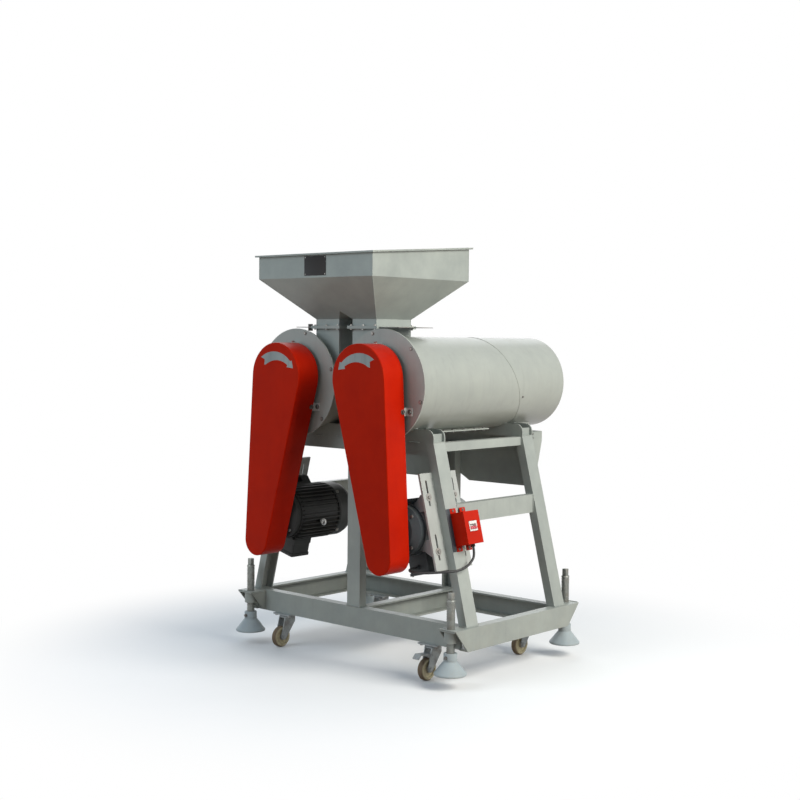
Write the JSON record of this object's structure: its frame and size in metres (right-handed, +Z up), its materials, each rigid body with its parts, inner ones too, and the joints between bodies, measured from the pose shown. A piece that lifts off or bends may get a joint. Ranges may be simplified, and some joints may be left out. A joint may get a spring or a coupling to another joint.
{
  "type": "seed sheller",
  "caption": "Grain peeling machine: open hopper with slide gates over side-by-side drums, belt-driven screw rotors, finned motors, splayed channel-iron frame on casters and levelling screws.",
  "frame": {"origin": "on the floor under the middle of the bounding box", "axes": "+X across the two drums to the side that carries the breaker box, -Y toward the belt covers, +Z up"},
  "size_m": [1.426, 1.308, 1.934],
  "materials": {
    "machine_paint": "satin grey-green enamel",
    "cover_paint": "satin red enamel",
    "motor_paint": "near black enamel",
    "machined_steel": "turned steel",
    "bearing_iron": "painted casting",
    "screen_steel": "rolled sheet",
    "belt_rubber": "matte",
    "screw_steel": "browned steel",
    "bolt_steel": "plated steel",
    "switch_paint": "satin red enamel",
    "lever_plastic": "moulded",
    "cable_rubber": "matte",
    "wheel_rubber": "moulded",
    "caster_steel": "zinc plated pressing"
  },
  "bodies": {
    "frame": {"base_centre_channel": "machine_paint", "base_front_channel": "machine_paint", "base_left_channel": "machine_paint", "base_rear_channel": "machine_paint", "base_right_channel": "machine_paint", "beam_front": "machine_paint", "beam_rear": "machine_paint", "bearing_units": "bearing_iron", "belt_cover_left": "cover_paint", "belt_cover_right": "cover_paint", "breaker_box": "switch_paint", "breaker_cable": "cable_rubber", "caster_plates": "caster_steel", "discharge_chute": "machine_paint", "drive_belts": "belt_rubber", "drum_casing_left": "machine_paint", "drum_casing_right": "machine_paint", "drum_front_flanges": "machine_paint", "drum_rear_covers": "machine_paint", "feed_necks": "machine_paint", "frame_bolts": "bolt_steel", "hopper": "machine_paint", "jack_brackets": "machine_paint", "leg_front_left": "machine_paint", "leg_front_right": "machine_paint", "leg_rear_left": "machine_paint", "leg_rear_right": "machine_paint", "mid_rail_left": "machine_paint", "mid_rail_right": "machine_paint", "motor_left": "motor_paint", "motor_plate_left": "machine_paint", "motor_plate_right": "machine_paint", "motor_right": "motor_paint", "post_front": "machine_paint", "post_rear": "machine_paint", "saddle_front": "machine_paint", "saddle_rear": "machine_paint", "screen_cylinders": "screen_steel", "top_rail_left": "machine_paint", "top_rail_right": "machine_paint"},
    "rotor_right": {"rotor_right": "machined_steel"},
    "rotor_left": {"rotor_left": "machined_steel"},
    "motor_shaft_right": {"motor_shaft_right": "machined_steel"},
    "motor_shaft_left": {"motor_shaft_left": "machined_steel"},
    "feed_gate_right": {"feed_gate_right": "machine_paint"},
    "feed_gate_left": {"feed_gate_left": "machine_paint"},
    "breaker_lever": {"breaker_lever": "lever_plastic"},
    "brake_pedal": {"brake_pedal": "caster_steel"},
    "levelling_screw_front_right": {"levelling_screw_front_right": "screw_steel"},
    "levelling_screw_front_left": {"levelling_screw_front_left": "screw_steel"},
    "levelling_screw_rear_right": {"levelling_screw_rear_right": "screw_steel"},
    "levelling_screw_rear_left": {"levelling_screw_rear_left": "screw_steel"},
    "caster_fork_front_right": {"caster_fork_front_right": "caster_steel"},
    "caster_fork_front_left": {"caster_fork_front_left": "caster_steel"},
    "caster_fork_rear_right": {"caster_fork_rear_right": "caster_steel"},
    "caster_fork_rear_left": {"caster_fork_rear_left": "caster_steel"},
    "caster_wheel_front_right": {"caster_wheel_front_right": "wheel_rubber"},
    "caster_wheel_front_left": {"caster_wheel_front_left": "wheel_rubber"},
    "caster_wheel_rear_right": {"caster_wheel_rear_right": "wheel_rubber"},
    "caster_wheel_rear_left": {"caster_wheel_rear_left": "wheel_rubber"}
  },
  "joints": [
    {"name": "rotor_right_spin", "type": "hinge", "parent": "frame", "child": "rotor_right", "pos_m": [0.272, 0, 1.3], "axis": [0, 1, 0], "continuous": true},
    {"name": "motor_shaft_right_spin", "type": "hinge", "parent": "frame", "child": "motor_shaft_right", "pos_m": [0.38609, -0.5, 0.666], "axis": [0, 1, 0], "continuous": true},
    {"name": "feed_gate_right_slide", "type": "slide", "parent": "frame", "child": "feed_gate_right", "axis": [1, 0, 0], "range_m": [-0.135, 0]},
    {"name": "rotor_left_spin", "type": "hinge", "parent": "frame", "child": "rotor_left", "pos_m": [-0.272, 0, 1.3], "axis": [0, 1, 0], "continuous": true},
    {"name": "motor_shaft_left_spin", "type": "hinge", "parent": "frame", "child": "motor_shaft_left", "pos_m": [-0.38609, -0.5, 0.666], "axis": [0, 1, 0], "continuous": true},
    {"name": "feed_gate_left_slide", "type": "slide", "parent": "frame", "child": "feed_gate_left", "axis": [-1, 0, 0], "range_m": [-0.135, 0]},
    {"name": "breaker_lever_turn", "type": "hinge", "parent": "frame", "child": "breaker_lever", "pos_m": [0.63891, -0.288, 0.69018], "axis": [0, 1, 0], "range_deg": [-60, 0]},
    {"name": "levelling_screw_front_right_lift", "type": "slide", "parent": "frame", "child": "levelling_screw_front_right", "axis": [0, 0, 1], "range_m": [-0.061, 0.04]},
    {"name": "caster_front_right_swivel", "type": "hinge", "parent": "frame", "child": "caster_fork_front_right", "pos_m": [0.47, -0.342, 0.148], "axis": [0, 0, 1], "continuous": true},
    {"name": "caster_front_right_roll", "type": "hinge", "parent": "caster_fork_front_right", "child": "caster_wheel_front_right", "pos_m": [0.47, -0.384, 0.05], "axis": [1, 0, 0], "continuous": true},
    {"name": "levelling_screw_front_left_lift", "type": "slide", "parent": "frame", "child": "levelling_screw_front_left", "axis": [0, 0, 1], "range_m": [-0.061, 0.04]},
    {"name": "caster_front_left_swivel", "type": "hinge", "parent": "frame", "child": "caster_fork_front_left", "pos_m": [-0.47, -0.342, 0.148], "axis": [0, 0, 1], "continuous": true},
    {"name": "caster_front_left_roll", "type": "hinge", "parent": "caster_fork_front_left", "child": "caster_wheel_front_left", "pos_m": [-0.47, -0.384, 0.05], "axis": [1, 0, 0], "continuous": true},
    {"name": "levelling_screw_rear_right_lift", "type": "slide", "parent": "frame", "child": "levelling_screw_rear_right", "axis": [0, 0, 1], "range_m": [-0.061, 0.04]},
    {"name": "caster_rear_right_swivel", "type": "hinge", "parent": "frame", "child": "caster_fork_rear_right", "pos_m": [0.47, 0.342, 0.148], "axis": [0, 0, 1], "continuous": true},
    {"name": "caster_rear_right_roll", "type": "hinge", "parent": "caster_fork_rear_right", "child": "caster_wheel_rear_right", "pos_m": [0.47, 0.3, 0.05], "axis": [1, 0, 0], "continuous": true},
    {"name": "levelling_screw_rear_left_lift", "type": "slide", "parent": "frame", "child": "levelling_screw_rear_left", "axis": [0, 0, 1], "range_m": [-0.061, 0.04]},
    {"name": "caster_rear_left_swivel", "type": "hinge", "parent": "frame", "child": "caster_fork_rear_left", "pos_m": [-0.47, 0.342, 0.148], "axis": [0, 0, 1], "continuous": true},
    {"name": "caster_rear_left_roll", "type": "hinge", "parent": "caster_fork_rear_left", "child": "caster_wheel_rear_left", "pos_m": [-0.47, 0.3, 0.05], "axis": [1, 0, 0], "continuous": true},
    {"name": "brake_pedal_press", "type": "hinge", "parent": "caster_fork_front_right", "child": "brake_pedal", "pos_m": [0.47, -0.37, 0.112], "axis": [1, 0, 0], "range_deg": [0, 12]}
  ],
  "couplings": [
    {"joint": "motor_shaft_right_spin", "follows": "rotor_right_spin", "ratio": 1.8108},
    {"joint": "motor_shaft_left_spin", "follows": "rotor_left_spin", "ratio": 1.8108}
  ]
}
